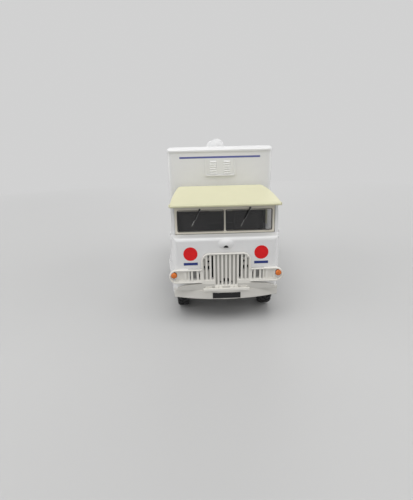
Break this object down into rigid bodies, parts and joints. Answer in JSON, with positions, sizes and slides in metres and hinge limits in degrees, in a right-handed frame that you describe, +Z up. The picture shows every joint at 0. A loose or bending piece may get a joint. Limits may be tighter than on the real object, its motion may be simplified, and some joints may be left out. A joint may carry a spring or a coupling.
{
  "type": "die-cast toy military ambulance truck",
  "caption": "Small die-cast toy of a forward-control four-wheel-drive army truck with a box body as an ambulance; its wheels roll and its rear doors open.",
  "frame": {"origin": "on the ground, in the middle of the truck's length and width", "axes": "+X to the truck's left, +Y from the nose to the rear, +Z up"},
  "size_m": [0.0488, 0.104, 0.0749],
  "materials": {
    "white_paint": "glossy white paint on die-cast metal",
    "trim_paint": "slightly warm satin white paint",
    "cream_top": "matt khaki-cream moulding",
    "screen_frame": "satin beige",
    "clear_plastic": "clear moulded glazing",
    "frosted_plastic": "frosted moulded glazing",
    "black_plastic": "satin black moulding",
    "cab_plastic": "dark matt moulding",
    "steel": "bright drawn wire",
    "wheel_paint": "satin white",
    "tyre": "matt black rubber",
    "lamp": "bright plated",
    "orange_lens": "glossy orange",
    "red_lens": "glossy red",
    "plate_black": "satin black, blank"
  },
  "bodies": {
    "truck": {"box_body": "white_paint", "box_roof": "white_paint", "bumper": "trim_paint", "cab_shell": "white_paint", "cab_top": "cream_top", "dashboard": "cab_plastic", "door_hinges": "steel", "engine_cover": "cab_plastic", "exhaust": "black_plastic", "frame": "black_plastic", "front_axle_tube": "black_plastic", "front_springs": "black_plastic", "front_vent": "white_paint", "fuel_tank": "black_plastic", "grille": "trim_paint", "headlamps": "lamp", "indicators": "orange_lens", "mudguard_left": "black_plastic", "mudguard_right": "black_plastic", "nose_boss": "white_paint", "number_plate": "plate_black", "propeller_shafts": "black_plastic", "rear_axle_tube": "black_plastic", "rear_beam": "black_plastic", "rear_springs": "black_plastic", "rear_step": "black_plastic", "roof_ventilator": "white_paint", "seat_left": "cab_plastic", "seat_right": "cab_plastic", "side_panes_left": "frosted_plastic", "side_panes_right": "frosted_plastic", "steering_wheel": "cab_plastic", "tail_lamps": "red_lens", "tool_locker": "black_plastic", "towing_eye": "black_plastic", "transfer_gearbox": "black_plastic", "valance": "trim_paint", "windscreen_frame": "screen_frame", "windscreen_panes": "clear_plastic", "wipers": "steel"},
    "front_wheels": {"front_axle": "steel", "front_hub_left": "wheel_paint", "front_hub_right": "wheel_paint", "front_tyre_left": "tyre", "front_tyre_right": "tyre"},
    "rear_wheels": {"rear_axle": "steel", "rear_hub_left": "wheel_paint", "rear_hub_right": "wheel_paint", "rear_tyre_left": "tyre", "rear_tyre_right": "tyre"},
    "rear_door_left": {"rear_door_left": "white_paint", "rear_door_pane_left": "frosted_plastic"},
    "rear_door_right": {"rear_door_right": "white_paint", "rear_door_pane_right": "frosted_plastic"}
  },
  "joints": [
    {"name": "front_wheels_roll", "type": "hinge", "parent": "truck", "child": "front_wheels", "pos_m": [0, -0.0316, 0.0107], "axis": [1, 0, 0], "continuous": true},
    {"name": "rear_wheels_roll", "type": "hinge", "parent": "truck", "child": "rear_wheels", "pos_m": [0, 0.0264, 0.0107], "axis": [1, 0, 0], "continuous": true},
    {"name": "rear_door_left_swing", "type": "hinge", "parent": "truck", "child": "rear_door_left", "pos_m": [0.02316, 0.05115, 0.045], "axis": [0, 0, -1], "range_deg": [0, 100]},
    {"name": "rear_door_right_swing", "type": "hinge", "parent": "truck", "child": "rear_door_right", "pos_m": [-0.02316, 0.05115, 0.045], "axis": [0, 0, 1], "range_deg": [0, 100]}
  ]
}
